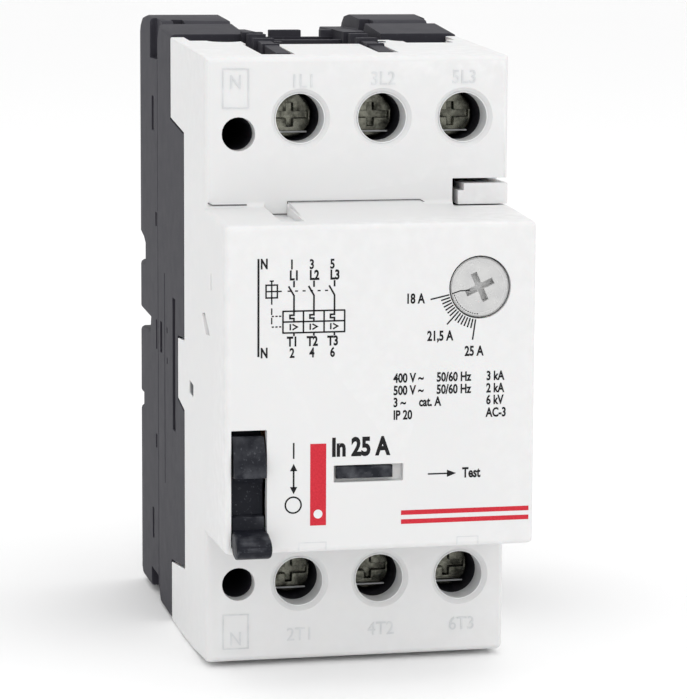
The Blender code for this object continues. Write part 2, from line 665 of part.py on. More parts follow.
def make_bridges():
    for number, x in enumerate(POLE_X, 1):
        bridge = box((x - 2.6, 25.5, LOWER_CONTACT_Z - 1.9), (x + 2.6, 26.6, UPPER_CONTACT_Z + 1.9),
                     name="bridge")
        for z in (LOWER_CONTACT_Z, UPPER_CONTACT_Z):
            join(bridge, rod((x, 26.9, z), 1.7, 1.2, sides=16, name="contact_pad"))
        finish(bridge, f"contact_bridge_{number}", "silver_contact", smooth=True)
        spring = coil((x, 24.15, CARRIER_Z), 1.4, 0.25, 1.6, 2.5, "Y", name="spring")
        finish(spring, f"bridge_spring_{number}", "steel", smooth=True)


def make_bars():
    """Line bars from the upper clamps to the upper contacts, coil bars, and load bars to the lower clamps."""
    back = TONGUE_Y + BAR
    for number, x in enumerate(POLE_X, 1):
        line = prism([(TONGUE_Y, 12.4), (back, 12.4), (back, UPPER_SCREW_Z + 3.9),
                      (TONGUE_Y, UPPER_SCREW_Z + 3.9)],
                     x - 2.6, x + 2.6, name="line_bar")
        join(line, rod((x, 33.4, UPPER_CONTACT_Z), 1.7, 1.6, sides=16, name="contact_pad"))
        finish(line, f"line_bar_{number}", "copper")
        inner = prism([(TONGUE_Y, 3.6), (TONGUE_Y, -5.5), (38.4, -5.5), (38.4, -4.0),
                       (back, -4.0), (back, 3.6)],
                      x - 2.6, x + 2.6, name="coil_bar")
        join(inner, rod((x, 33.4, LOWER_CONTACT_Z), 1.7, 1.6, sides=16, name="contact_pad"))
        finish(inner, f"coil_bar_{number}", "copper")
        load = prism([(TONGUE_Y, LOWER_SCREW_Z - 4.2), (back, LOWER_SCREW_Z - 4.2), (back, -21.9),
                      (50.5, -21.9),
                      (50.5, -20.4), (TONGUE_Y, -20.4)], x - 2.6, x + 2.6, name="load_bar")
        finish(load, f"load_bar_{number}", "copper")


def make_arc_chutes():
    for number, x in enumerate(POLE_X, 1):
        chute = box((x - 4.8, 40.6, -1.4), (x + 4.8, 54.0, 25.4), name="chute")
        slots = []
        for step in range(9):
            low = 2.7 * step
            slots.append(box((x - 4.3, 39, low), (x + 4.3, 56, low + 1.7), name="chute_slot"))
        cut(chute, *slots)
        finish(chute, f"arc_chute_{number}", "steel")


def make_coils():
    for number, x in enumerate(POLE_X, 1):
        winding = coil((x, 45.8, COIL_Z), 3.8, 0.75, 7.6, 4, "Y", steps=12, name="winding")
        finish(winding, f"trip_coil_{number}", "copper", smooth=True)
        yoke = prism([(38.9, -19.4), (52.4, -19.4), (52.4, -7.2), (51.2, -7.2), (51.2, -18.2), (40.1, -18.2),
                      (40.1, -7.2), (38.9, -7.2)], x - 4.4, x + 4.4, name="coil_yoke")
        cut(yoke, rod((x, 39.5, COIL_Z), 1.3, 3, sides=16, name="plunger_hole"))
        finish(yoke, f"coil_yoke_{number}", "steel")
        origin = (x, 47.0, COIL_Z)
        plunger = rod((x, 47.3, COIL_Z), 2.3, 6.6, sides=20, origin=origin, name="plunger")
        join(plunger, rod((x, 39.7, COIL_Z), 0.9, 9.4, sides=16, origin=origin, name="plunger_pin"))
        finish(plunger, f"trip_plunger_{number}", "steel", smooth=True)


# ---------------------------------------------------------------- terminals


def make_terminals():
    """A captive screw and a clamp that rides up and down on it, for each of the six terminals."""
    number = 0
    for screw_z, up in ((UPPER_SCREW_Z, 1), (LOWER_SCREW_Z, -1)):
        for x in POLE_X:
            number += 1
            origin = (x, HEAD_Y, screw_z)
            head = rod((x, HEAD_Y + 1.4, screw_z), 3.1, 2.8, sides=28, origin=origin, name="screw_head")
            shank = rod((x, 29.8, screw_z), 1.95, 7.6, sides=20, origin=origin, name="screw_shank")
            slot = box((x - 2.7, HEAD_Y - 1, screw_z - 0.5), (x + 2.7, HEAD_Y + 1.2, screw_z + 0.5),
                       origin=origin, name="screw_slot")
            cross = box((x - 0.5, HEAD_Y - 1, screw_z - 1.7), (x + 0.5, HEAD_Y + 1.2, screw_z + 1.7),
                        origin=origin, name="screw_cross")
            join(head, shank)
            cut(head, slot, cross)
            finish(head, f"terminal_screw_{number}", "steel", smooth=True)
            ends = sorted((screw_z - 4.6, screw_z + 4.6))
            cage = box((x - 3.7, 31.3, ends[0]), (x + 3.7, 43.6, ends[1]), name="cage")
            room = box((x - 2.95, 33.2, ends[0] - 1), (x + 2.95, 42.2, ends[1] + 1), name="cage_room")
            hole = rod((x, 32, screw_z), 2.25, 5, sides=20, name="cage_hole")
            cut(cage, room, hole)
            finish(cage, f"clamp_cage_{number}", "steel")


# ---------------------------------------------------------------- trip system, dial, latch


def make_bimetals():
    for number, x in enumerate(POLE_X, 1):
        strip = prism([(x - 1.95, -13.2), (x - 1.05, -13.2), (x - 1.05, 16.0), (x + 3.2, 16.0),
                       (x + 3.2, 17.2),
                       (x - 1.95, 17.2)], 11.0, 15.5, view=FRONT_VIEW, name="bimetal")
        finish(strip, f"bimetal_{number}", "bimetal")


def make_trip_slide():
    slide = box((-14.7, 5.0, -12.9), (18.9, 7.4, -10.2), name="trip_slide")
    fingers = []
    for x in POLE_X:
        fingers.append(box((x - 0.65, 6.0, -12.9), (x + 0.35, 14.5, -10.2), name="finger"))
    fingers.append(box((-14.0, 5.0, -11.0), (-13.2, 7.4, 1.0), name="lever_finger"))
    join(slide, *fingers)
    fork = box((-4.6, 4.0, -12.4), (-0.8, 6.0, -10.8), name="test_fork")
    cut(slide, fork)
    return finish(slide, "trip_slide", "amber_plastic")


def make_trip_lever():
    """The bell crank that the trip slide turns; its left arm catches the yoke."""
    origin = (-12.2, 12.0, -0.5)
    lever = rod(origin, 1.7, 4.6, axis="Z", sides=20, origin=origin, name="trip_lever")
    pin = rod(origin, 0.9, 8.4, axis="Z", sides=16, origin=origin, name="lever_pin")
    front = box((-12.9, 5.7, -1.6), (-12.3, 11.5, 0.6), origin=origin, name="lever_arm")
    left = box((-14.8, 11.4, -1.6), (-13.0, 12.6, 0.6), origin=origin, name="lever_catch")
    join(lever, pin, front, left)
    return finish(lever, "trip_lever", "steel", smooth=True)


def make_test_slide():
    bar = box((TEST_LEFT_X, 0.2, TEST_Z - 0.85), (TEST_RIGHT_X, 0.95, TEST_Z + 0.85), name="test_slide")
    round_edges(bar, 0.2, 2, lambda p: p.y < 0.5)
    stem = box((-4.3, 0.6, TEST_Z - 0.45), (-1.1, 5.5, TEST_Z + 0.45), name="test_stem")
    flange = box((-6.1, 2.5, TEST_Z - 1.2), (0.4, 3.7, TEST_Z + 1.2), name="test_flange")
    join(bar, stem, flange)
    finish(bar, "test_slide", "toggle_plastic")
    spring = coil((3.05, 3.15, TEST_Z), 0.65, 0.16, 1.7, 4, "X", name="spring")
    return finish(spring, "test_spring", "steel", smooth=True)


def make_setting_dial():
    """The clear dial with a cross recess; the eccentric cam on its shaft moves the setting lever."""
    origin = (DIAL_X, 0.0, DIAL_Z)
    dial = rod((DIAL_X, 1.5, DIAL_Z), DIAL_RADIUS, 2.4, sides=36, origin=origin, name="setting_dial")
    flange = rod((DIAL_X, 3.0, DIAL_Z), DIAL_RADIUS + 0.9, 1.2, sides=36, origin=origin, name="dial_flange")
    shaft = rod((DIAL_X, 4.2, DIAL_Z), 2.0, 2.0, sides=20, origin=origin, name="dial_shaft")
    cam = rod((DIAL_X + CAM_OFFSET * math.cos(CAM_REST), 6.2, DIAL_Z + CAM_OFFSET * math.sin(CAM_REST)),
              0.8, 3.0, sides=16, origin=origin, name="dial_cam")
    join(dial, flange, shaft, cam)
    for turn in (0, math.pi / 2):
        groove = box((DIAL_X - 2.1, -1, DIAL_Z - 0.45), (DIAL_X + 2.1, 1.5, DIAL_Z + 0.45),
                     origin=origin, name="dial_groove")
        groove.rotation_euler.y = -(CROSS_TURN + turn)
        cut(dial, groove)
    finish(dial, "setting_dial", "dial_plastic", smooth=True)
    pivot = (SETTING_PIVOT_X, 6.0, DIAL_Z)
    cam_x = DIAL_X + CAM_OFFSET * math.cos(CAM_REST)
    cam_z = DIAL_Z + CAM_OFFSET * math.sin(CAM_REST)
    lever = rod((SETTING_PIVOT_X, 6.2, DIAL_Z), 1.7, 1.2, sides=20, origin=pivot, name="setting_lever")
    ring = rod((cam_x, 6.2, cam_z), 2.0, 1.2, sides=20, origin=pivot, name="lever_ring")
    link = prism([(SETTING_PIVOT_X, DIAL_Z - 0.8), (cam_x - 1.5, cam_z - 0.8), (cam_x - 1.5, cam_z + 0.8),
                  (SETTING_PIVOT_X, DIAL_Z + 0.8)], 5.6, 6.8, view=FRONT_VIEW, origin=pivot, name="lever_link")
    tail = box((SETTING_PIVOT_X - 0.7, 5.6, -8.2), (SETTING_PIVOT_X + 0.7, 6.8, DIAL_Z - 0.5),
               origin=pivot, name="lever_tail")
    join(lever, ring, link, tail)
    hole = rod((SETTING_PIVOT_X, 6.2, DIAL_Z), 0.95, 4, sides=16, origin=pivot, name="lever_bore")
    eye = rod((cam_x, 6.2, cam_z), 1.15, 4, sides=16, origin=pivot, name="lever_eye")
    cut(lever, hole, eye)
    return finish(lever, "setting_lever", "steel", smooth=True)


def make_rear_latch():
    """The spring latch in the rear base: its tip stands in the middle slot, and it is pulled down to free it."""
    origin = (0, 72.0, -20.0)
    latch = box((-4.2, 70.8, -39.8), (4.2, 73.8, -1.6), origin=origin, name="rear_latch")
    tip = prism([(70.8, -2.0), (73.8, -2.0), (73.8, -0.2), (72.6, 0.3), (70.8, 0.3)], -3.6, 3.6,
                origin=origin, name="latch_tip")
    window = box((-2.2, 69, -32.0), (2.2, 75, -18.0), origin=origin, name="latch_window")
    pull = box((-2.0, 72.4, -38.4), (2.0, 75, -36.4), origin=origin, name="latch_pull")
    join(latch, tip)
    cut(latch, window, pull)
    finish(latch, "rear_latch", "case_plastic")
    spring = coil((0, 72.3, -23.4), 1.3, 0.25, 9.9, 7, "Z", name="spring")
    return finish(spring, "latch_spring", "steel", smooth=True)


# ---------------------------------------------------------------- build

clear_scene()
PARTS = new_collection("motor_protection_breaker")
CUTTERS = new_collection("cutters")
FRAME = bpy.data.objects.new("breaker_frame", None)
FRAME.location = (0, -(NOSE_Y + BACK_Y) / 2 * MM, -FLOOR_Z * MM)
PARTS.objects.link(FRAME)

make_front_cover()
make_case()
make_rear_base()
make_side_blank()
make_toggle()
make_toggle_pin()
make_contact_carrier()
make_bridges()
make_bars()
make_arc_chutes()
make_coils()
make_terminals()
make_bimetals()
make_trip_slide()
make_trip_lever()
make_test_slide()
make_setting_dial()
make_rear_latch()
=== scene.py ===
"""Looks for the motor protection breaker: refined housings, prints, moulded marks and materials.

Lengths in this script are in millimetres in the breaker's own frame, as in the part: X to the right seen
from the front, Y back from the front plate, Z up from the middle of the front block. at() turns them into
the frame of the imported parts.
"""

import json
import math

import bmesh
import bpy
from mathutils import Matrix, Vector


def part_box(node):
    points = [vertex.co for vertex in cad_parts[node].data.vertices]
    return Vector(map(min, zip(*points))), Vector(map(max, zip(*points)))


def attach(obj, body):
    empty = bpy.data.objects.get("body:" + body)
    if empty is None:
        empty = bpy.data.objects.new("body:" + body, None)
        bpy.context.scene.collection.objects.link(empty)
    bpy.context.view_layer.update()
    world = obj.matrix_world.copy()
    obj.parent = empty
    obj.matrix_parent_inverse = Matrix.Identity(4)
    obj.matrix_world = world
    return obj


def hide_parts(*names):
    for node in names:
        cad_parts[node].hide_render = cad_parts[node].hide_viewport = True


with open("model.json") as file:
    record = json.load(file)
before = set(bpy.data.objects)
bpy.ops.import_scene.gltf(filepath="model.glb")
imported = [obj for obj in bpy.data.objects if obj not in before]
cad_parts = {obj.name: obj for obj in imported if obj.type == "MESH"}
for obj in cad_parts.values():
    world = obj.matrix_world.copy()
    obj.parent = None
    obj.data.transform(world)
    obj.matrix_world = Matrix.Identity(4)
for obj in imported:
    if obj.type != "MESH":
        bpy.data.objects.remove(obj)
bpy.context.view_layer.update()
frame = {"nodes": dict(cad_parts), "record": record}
NODES = frame["nodes"]

MM = 0.001
FRONT_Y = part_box("front_cover")[0].y
FLOOR_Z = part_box("case")[0].z
MIDDLE_HEIGHT = 42.0

# How far a print stands out of its surface and reaches into it, the same for a relief, and the share of
# a letter's size that a capital takes up.
INK = 0.02
DEPTH = 0.05
RELIEF_STEP = 0.1
CAPITAL_SHARE = 0.69

# Faces of the front cover that carry marks, as distances back from the front plate.
SHOULDER_Y = 15.5
FILLET_Y = 15.2
COVER_INSIDE = (1.0, 14.0)

# Places that several marks share.
POLE_PITCH = 11.72
MIDDLE_POLE_X = 3.5
POLE_X = tuple(MIDDLE_POLE_X + POLE_PITCH * step for step in (-1, 0, 1))
UPPER_SCREW_Z = 35.74
LOWER_SCREW_Z = -30.08
DIAL_X = 13.75
DIAL_Z = 13.55
DIAL_RADIUS = 4.1
DIAL_FACE_Y = 0.3
POINTER_TURN = 192.4
SCALE_END_TURN = 262.0

# Line widths of the prints.
BOLD = 0.28
STRONG = 0.25
LINE = 0.24
BOX_LINE = 0.22
THIN = 0.21
FINE = 0.2
HAIR = 0.19
DASH = 0.18


def at(x, y, z):
    """A point of the breaker's own frame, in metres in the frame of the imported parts."""
    return Vector((x * MM, FRONT_Y + y * MM, FLOOR_Z + (MIDDLE_HEIGHT + z) * MM))


# ---------------------------------------------------------------- node helpers


class Shader:
    """A material under construction: short calls that add and link nodes."""

    def __init__(self, name):
        self.material = bpy.data.materials.new(name)
        self.material.use_nodes = True
        self.tree = self.material.node_tree
        self.base = self.tree.nodes["Principled BSDF"]
        self.coordinates = self.add("ShaderNodeTexCoord").outputs["Object"]

    def add(self, kind, **settings):
        node = self.tree.nodes.new(kind)
        for key, value in settings.items():
            setattr(node, key, value)
        return node

    def link(self, output, target):
        self.tree.links.new(output, target)

    def stretched(self, factors):
        """Object coordinates scaled by a factor on each axis."""
        mapping = self.add("ShaderNodeMapping")
        mapping.inputs["Scale"].default_value = factors
        self.link(self.coordinates, mapping.inputs["Vector"])
        return mapping.outputs["Vector"]

    def noise(self, size_mm, detail=3.0, roughness=0.5, vector=None):
        """Cloudy noise whose patches are about size_mm wide."""
        node = self.add("ShaderNodeTexNoise")
        node.inputs["Scale"].default_value = 1 / (size_mm * MM)
        node.inputs["Detail"].default_value = detail
        node.inputs["Roughness"].default_value = roughness
        self.link(vector or self.coordinates, node.inputs["Vector"])
        return node.outputs["Fac"]

    def rings(self, size_mm):
        """Fine turning marks round the piece's own Y axis."""
        node = self.add("ShaderNodeTexWave", wave_type="RINGS", rings_direction="Y")
        node.inputs["Scale"].default_value = 1 / (size_mm * MM)
        node.inputs["Distortion"].default_value = 1.5
        node.inputs["Detail"].default_value = 2.0
        self.link(self.coordinates, node.inputs["Vector"])
        return node.outputs["Fac"]

    def ramp(self, value, low, high, start=0.0, end=1.0):
        """Maps low to start and high to end, and holds the ends."""
        node = self.add("ShaderNodeMapRange")
        node.inputs["From Min"].default_value = low
        node.inputs["From Max"].default_value = high
        node.inputs["To Min"].default_value = start
        node.inputs["To Max"].default_value = end
        self.link(value, node.inputs["Value"])
        return node.outputs["Result"]

    def blend(self, factor, first, second):
        """Mixes two colours; either can be an output or a plain colour."""
        node = self.add("ShaderNodeMix", data_type="RGBA")
        self.link(factor, node.inputs["Factor"])
        for index, colour in ((6, first), (7, second)):
            target = node.inputs[index]
            if isinstance(colour, tuple):
                target.default_value = (*colour, 1.0)
            else:
                self.link(colour, target)
        return node.outputs[2]

    def edge_highlight_mask(self):
        """1 on outer edges and 0 on flats and hollows: the mask of the painted edge highlight and wear."""
        geometry = self.add("ShaderNodeNewGeometry")
        return self.ramp(geometry.outputs["Pointiness"], 0.52, 0.60)

    def bump(self, *layers):
        """Height layers as (output, height in mm, strength), one on top of the next."""
        last = None
        for height, distance, strength in layers:
            node = self.add("ShaderNodeBump")
            node.inputs["Strength"].default_value = strength
            node.inputs["Distance"].default_value = distance * MM
            self.link(height, node.inputs["Height"])
            if last:
                self.link(last, node.inputs["Normal"])
            last = node.outputs["Normal"]
        self.link(last, self.base.inputs["Normal"])

    def colour(self, output):
        self.link(output, self.base.inputs["Base Color"])

    def rough(self, output):
        self.link(output, self.base.inputs["Roughness"])

    def set(self, **values):
        for name, value in values.items():
            self.base.inputs[name.replace("_", " ")].default_value = value


def moulded(name, colour, mottle, speck_and_highlight, roughness, grain=0.16, fibre=0.0, flow_mm=14.0, edge_highlight=1.0):
    """Moulded plastic: spark-eroded grain, faint flow marks, pale specks, and outer edges lightened towards
    the pale colour as painted highlight and wear.

    grain and flow_mm are sizes in mm; fibre is the strength of the pale specks and the last argument that of
    the painted highlight and wear on the edges.
    """
    made = Shader(name)
    flow = made.ramp(made.noise(flow_mm, detail=4.0, roughness=0.6), 0.35, 0.65)
    body = made.blend(flow, colour, mottle)
    speck = made.ramp(made.noise(0.35, detail=2.0), 0.62, 0.75, 0.0, fibre)
    body = made.blend(speck, body, speck_and_highlight)
    # Outer edges lightened towards the pale colour: painted highlight, together with some wear.
    highlight_amount = made.add("ShaderNodeMath", operation="MULTIPLY")
    made.link(made.edge_highlight_mask(), highlight_amount.inputs[0])
    made.link(made.ramp(made.noise(1.8, detail=5.0), 0.4, 0.7, 0.0, edge_highlight), highlight_amount.inputs[1])
    made.colour(made.blend(highlight_amount.outputs[0], body, speck_and_highlight))
    made.rough(made.ramp(made.noise(2.5, detail=4.0), 0.3, 0.7, roughness - 0.025, roughness + 0.03))
    made.bump((made.noise(grain, detail=2.0, roughness=0.6), 0.012, 0.45),
              (made.noise(9.0, detail=1.0), 0.05, 0.25))
    return made


def white_plastic():
    made = moulded("white_plastic", (0.712, 0.712, 0.712), (0.702, 0.702, 0.703),
                   (0.77, 0.77, 0.772), 0.48)
    made.set(Subsurface_Weight=0.05, Subsurface_Scale=0.001, Specular_IOR_Level=0.4)
    return made.material


def case_plastic():
    made = moulded("case_plastic", (0.0300, 0.0290, 0.0375), (0.0325, 0.0315, 0.040),
                   (0.075, 0.075, 0.084), 0.62, grain=0.22, fibre=0.45, flow_mm=5.0, edge_highlight=0.3)
    made.set(Specular_IOR_Level=0.16)
    return made.material


def toggle_plastic():
    made = moulded("toggle_plastic", (0.008, 0.009, 0.014), (0.011, 0.012, 0.017),
                   (0.14, 0.145, 0.16), 0.50, grain=0.10, fibre=0.3, flow_mm=3.0)
    made.set(Specular_IOR_Level=0.14)
    return made.material


def dial_plastic():
    """Clear-coated pale plastic with faint turning marks."""
    made = Shader("dial_plastic")
    cloud = made.ramp(made.noise(2.2, detail=3.0), 0.35, 0.65)
    made.colour(made.blend(cloud, (0.72, 0.72, 0.71), (0.64, 0.64, 0.64)))
    made.rough(made.ramp(made.noise(0.6, detail=4.0), 0.3, 0.7, 0.16, 0.30))
    made.bump((made.rings(0.9), 0.004, 0.25), (made.noise(0.2), 0.004, 0.3))
    made.set(Transmission_Weight=0.25, Coat_Weight=0.6, Coat_Roughness=0.12, IOR=1.49)
    return made.material


def metal(name, bright, dull, roughness, lines, line_mm=0.08, mark=None):
    """Metal with a drawn or rolled grain, stretched by the factors in lines, and a patchy finish."""
    made = Shader(name)
    grain = made.noise(line_mm, detail=3.0, vector=made.stretched(lines))
    patches = made.ramp(made.noise(1.6, detail=5.0, roughness=0.6), 0.38, 0.66)
    made.colour(made.blend(patches, bright, dull))
    made.rough(made.ramp(grain, 0.3, 0.7, roughness - 0.08, roughness + 0.12))
    layers = [(grain, 0.004, 0.35)]
    if mark:
        layers.append((made.rings(mark), 0.006, 0.3))
    made.bump(*layers)
    made.set(Metallic=1.0)
    return made.material


def ink(name, colour):
    """Pad-printed ink, a little thinner in places."""
    made = Shader(name)
    thin = tuple(min(1.0, part * 1.2 + 0.005) for part in colour)
    made.colour(made.blend(made.ramp(made.noise(0.25, detail=3.0), 0.35, 0.7), colour, thin))
    made.rough(made.ramp(made.noise(0.4), 0.3, 0.7, 0.42, 0.55))
    made.bump((made.noise(0.12), 0.003, 0.3))
    made.set(Specular_IOR_Level=0.2)
    return made.material


MATERIALS = {
    "white_plastic": white_plastic(),
    "case_plastic": case_plastic(),
    "toggle_plastic": toggle_plastic(),
    "dial_plastic": dial_plastic(),
    "amber_plastic": moulded("amber_plastic", (0.30, 0.15, 0.05), (0.24, 0.11, 0.035),
                             (0.45, 0.27, 0.12), 0.5).material,
    # The steel's very dark colours are partly the dull plating and partly painted shade of the screw heads
    # deep in their bores.
    "steel": metal("steel", (0.20, 0.20, 0.165), (0.03, 0.03, 0.024), 0.24, (1, 8, 1), mark=0.5),
    "copper": metal("copper", (0.78, 0.42, 0.26), (0.58, 0.28, 0.16), 0.28, (8, 1, 1)),
    "silver_contact": metal("silver_contact", (0.83, 0.82, 0.78), (0.66, 0.64, 0.58), 0.24, (8, 1, 1)),
    "bimetal": metal("bimetal", (0.60, 0.55, 0.47), (0.48, 0.43, 0.35), 0.34, (1, 1, 8)),
}
BLACK_INK = ink("black_ink", (0.004, 0.004, 0.005))
RED_INK = ink("red_ink", (0.50, 0.018, 0.032))
# Grey for the raised marks: painted shade of their edges. The tab outlines and the screw retaining strips
# use the same grey.
SHADED_RELIEF = moulded("relief_painted_shade", (0.60, 0.61, 0.62), (0.57, 0.58, 0.59), (0.68, 0.69, 0.70), 0.5).material
# Dark strips: painted shade in the gaps between the front block's ledge and the shoulder.
SEAM_SHADOW = moulded("seam_shadow", (0.08, 0.08, 0.085), (0.11, 0.11, 0.115), (0.2, 0.2, 0.2), 0.6).material
RIM = moulded("dial_rim", (0.22, 0.22, 0.22), (0.30, 0.30, 0.30), (0.4, 0.4, 0.4), 0.4).material
PALE_RIM = moulded("dial_inner_rim", (0.50, 0.50, 0.50), (0.56, 0.56, 0.56), (0.6, 0.6, 0.6), 0.3).material


# ---------------------------------------------------------------- pieces


def keep(mesh, name, material, body="housing", replaces=None, smooth=30):
    """Makes a mesh a piece that rides on a body; edges sharper than smooth, in degrees, stay sharp."""
    piece = bpy.data.objects.new(name, mesh)
    bpy.context.scene.collection.objects.link(piece)
    mesh.materials.clear()
    mesh.materials.append(material)
    if smooth:
        mesh.shade_smooth()
        mesh.set_sharp_from_angle(angle=math.radians(smooth))
        even = piece.modifiers.new("even_flats", "WEIGHTED_NORMAL")
        even.keep_sharp = True
        even.weight = 100
    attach(piece, body)
    if replaces:
        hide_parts(replaces)


def mesh_of(shape, name):
    """Turns a bmesh into a mesh and frees it."""
    mesh = bpy.data.meshes.new(name)
    shape.to_mesh(mesh)
    shape.free()
    return mesh


def refined(node, width, steps=2, angle=50, shortest=0.35, hidden=(0.0, 0.0), merge=False):
    """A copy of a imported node's mesh with its sharp edges rounded by width.

    Edges shorter than shortest stay sharp, and so do those whose distance back from the front plate lies
    between the two in hidden. merge joins the node's flat facets first.
    """
    shape = bmesh.new()
    shape.from_mesh(NODES[node].data)
    bmesh.ops.remove_doubles(shape, verts=shape.verts, dist=0.002 * MM)
    if merge:
        bmesh.ops.dissolve_limit(shape, angle_limit=math.radians(0.05), verts=shape.verts, edges=shape.edges)
    sharp = []
    for edge in shape.edges:
        if not edge.is_manifold or edge.calc_length() < shortest * MM:
            continue
        back = ((edge.verts[0].co.y + edge.verts[1].co.y) / 2 - FRONT_Y) / MM
        if edge.calc_face_angle(0) > math.radians(angle) and not hidden[0] < back < hidden[1]:
            sharp.append(edge)
    bmesh.ops.bevel(shape, geom=sharp, offset=width * MM, segments=steps, profile=0.5, affect="EDGES",
                    clamp_overlap=False, miter_outer="ARC")
    bmesh.ops.recalc_face_normals(shape, faces=shape.faces)
    return mesh_of(shape, node)


def body_with(node):
    """The name of the body that a node belongs to."""
    for body, members in frame["record"]["behaviour"]["bodies"].items():
        if node in members:
            return body
    raise ValueError(node)


def dress_nodes():
    """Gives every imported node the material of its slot."""
    for entry in frame["record"]["subparts"]:
        data = NODES[entry["node"]].data
        data.materials.clear()
        data.materials.append(MATERIALS[entry["material_slot"]])


def refine_housings():
    """Puts copies with rounded edges in the place of the outer plastic parts and the screws."""
    cover = refined("front_cover", 0.1, hidden=COVER_INSIDE, merge=True)
    keep(cover, "front_cover_shell", MATERIALS["white_plastic"], "housing", "front_cover")
    shells = [("case", 0.11, "case_plastic"), ("rear_base", 0.13, "case_plastic"),
              ("side_blank", 0.09, "white_plastic"), ("toggle", 0.1, "toggle_plastic"),
              ("test_slide", 0.05, "toggle_plastic"), ("rear_latch", 0.12, "case_plastic")]
    shells += [(f"terminal_screw_{number}", 0.084, "steel") for number in range(1, 7)]
    for node, width, slot in shells:
        keep(refined(node, width), f"{node}_shell", MATERIALS[slot], body_with(node), node)


# ---------------------------------------------------------------- prints


def join_rings(shape, rings):
    """Closes rings of vertices, each joined to the next and the last to the first, into a tube."""
    count = len(rings[0])
    for ring, following in zip(rings, rings[1:] + rings[:1]):
        for step in range(count):
            ahead = (step + 1) % count
            shape.faces.new((ring[step], ring[ahead], following[ahead], following[step]))


def solid(shape, points, plane=0.0, low=-DEPTH, high=INK):
    """A closed flat solid from a ring of (x, z) points on the plane y = plane.

    It reaches from low to high, counted out of the plane.
    """
    front = [shape.verts.new(at(x, plane - high, z)) for x, z in points]
    back = [shape.verts.new(at(x, plane - low, z)) for x, z in points]
    shape.faces.new(front)
    shape.faces.new(list(reversed(back)))
    count = len(points)
    for step in range(count):
        follow = (step + 1) % count
        shape.faces.new((front[follow], front[step], back[step], back[follow]))


def stroke(shape, points, width, plane=0.0, closed=False, low=-DEPTH, high=INK):
    """A line of one width along points, mitred at its corners."""
    count = len(points)
    left = []
    right = []
    for step in range(count):
        here = Vector(points[step])
        before = Vector(points[(step - 1) % count]) if closed or step else None
        after = Vector(points[(step + 1) % count]) if closed or step < count - 1 else None
        lines = [(after - here).normalized()] if after else []
        if before:
            lines.append((here - before).normalized())
        way = sum(lines, Vector((0, 0))).normalized()
        side = Vector((-way.y, way.x)) * (width / 2 / max(0.4, way.dot(lines[0])))
        left.append(here + side)
        right.append(here - side)
    if not closed:
        solid(shape, [tuple(p) for p in [*left, *reversed(right)]], plane, low, high)
        return
    rings = []
    for edge, out in ((left, high), (right, high), (right, low), (left, low)):
        rings.append([shape.verts.new(at(p.x, plane - out, p.y)) for p in edge])
    join_rings(shape, rings)


def rectangle(left, low, right, high):
    """The corners of an upright rectangle, anticlockwise from the lower left."""
    return [(left, low), (right, low), (right, high), (left, high)]


def dashes(shape, start, end, width, count, share):
    """A dashed line of count dashes, each filling a share of its step."""
    first = Vector(start)
    run = Vector(end) - first
    for step in range(count):
        here = first + run * (step / count)
        stroke(shape, [tuple(here), tuple(here + run * (share / count))], width)


def text(shape, words, x, z, height, width=0.78, weight=0.032, plane=0.0, align="CENTER",
         low=-DEPTH, high=INK):
    """Lettering with capitals of a height, its middle at z; weight thickens the strokes."""
    curve = bpy.data.curves.new("lettering", "FONT")
    curve.body = words
    curve.align_x = align
    curve.size = 1.0
    curve.extrude = 0.5
    curve.offset = weight
    curve.resolution_u = 3
    drawn = bpy.data.objects.new("lettering", curve)
    bpy.context.scene.collection.objects.link(drawn)
    mesh = bpy.data.meshes.new_from_object(drawn.evaluated_get(bpy.context.evaluated_depsgraph_get()))
    bpy.data.objects.remove(drawn, do_unlink=True)
    bpy.data.curves.remove(curve)
    letters = bmesh.new()
    letters.from_mesh(mesh)
    bpy.data.meshes.remove(mesh)
    bmesh.ops.remove_doubles(letters, verts=letters.verts, dist=0.0005)
    scale = height / CAPITAL_SHARE
    for vert in letters.verts:
        across, up, out = vert.co
        level = high if out > 0 else low
        vert.co = at(x + across * scale * width, plane - level, z + (up - CAPITAL_SHARE / 2) * scale)
    bmesh.ops.recalc_face_normals(letters, faces=letters.faces)
    mesh = mesh_of(letters, "lettering")
    shape.from_mesh(mesh)
    bpy.data.meshes.remove(mesh)


def round_points(x, z, radius, start=0, end=360, steps=28):
    """Points along an arc, in degrees; a full circle doesn't repeat its first point."""
    last = steps if end - start < 360 else steps - 1
    points = []
    for step in range(last + 1):
        angle = math.radians(start + (end - start) * step / steps)
        points.append((x + radius * math.cos(angle), z + radius * math.sin(angle)))
    return points


def printed(shape, name, material=BLACK_INK, body="housing"):
    """Makes a shape of strokes, solids and lettering a flat-shaded piece."""
    bmesh.ops.recalc_face_normals(shape, faces=shape.faces)
    keep(mesh_of(shape, name), name, material, body, smooth=0)


def print_toggle_marks():
    """The on line, the double arrow and the off ring beside the toggle."""
    shape = bmesh.new()
    x = -12.2
    half_arrow = 0.5
    arrow_length = 1.0
    stroke(shape, [(x, -7.2), (x, -9.4)], BOX_LINE)
    stroke(shape, [(x, -10.9), (x, -13.5)], LINE)
    for tip, way in ((-10.1, -1), (-14.3, 1)):
        base = tip + way * arrow_length
        solid(shape, [(x, tip), (x - half_arrow, base), (x + half_arrow, base)])
    stroke(shape, round_points(x - 0.05, -15.8, 1.1), BOX_LINE, closed=True)
    printed(shape, "print_toggle_marks")


def print_current():
    """The rated current over the test slide."""
    shape = bmesh.new()
    text(shape, "In 25 A", -6.95, -7.98, 2.4, width=0.78, weight=0.042, align="LEFT")
    printed(shape, "print_current")


def print_test():
    """The arrow that shows the test slide's way, and its word."""
    shape = bmesh.new()
    z = -12.15
    stroke(shape, [(6.6, z), (9.4, z)], FINE)
    solid(shape, [(10.6, z), (9.3, z + 0.5), (9.3, z - 0.5)])
    text(shape, "Test", 12.75, -12.1, 1.35, width=0.72)
    printed(shape, "print_test")


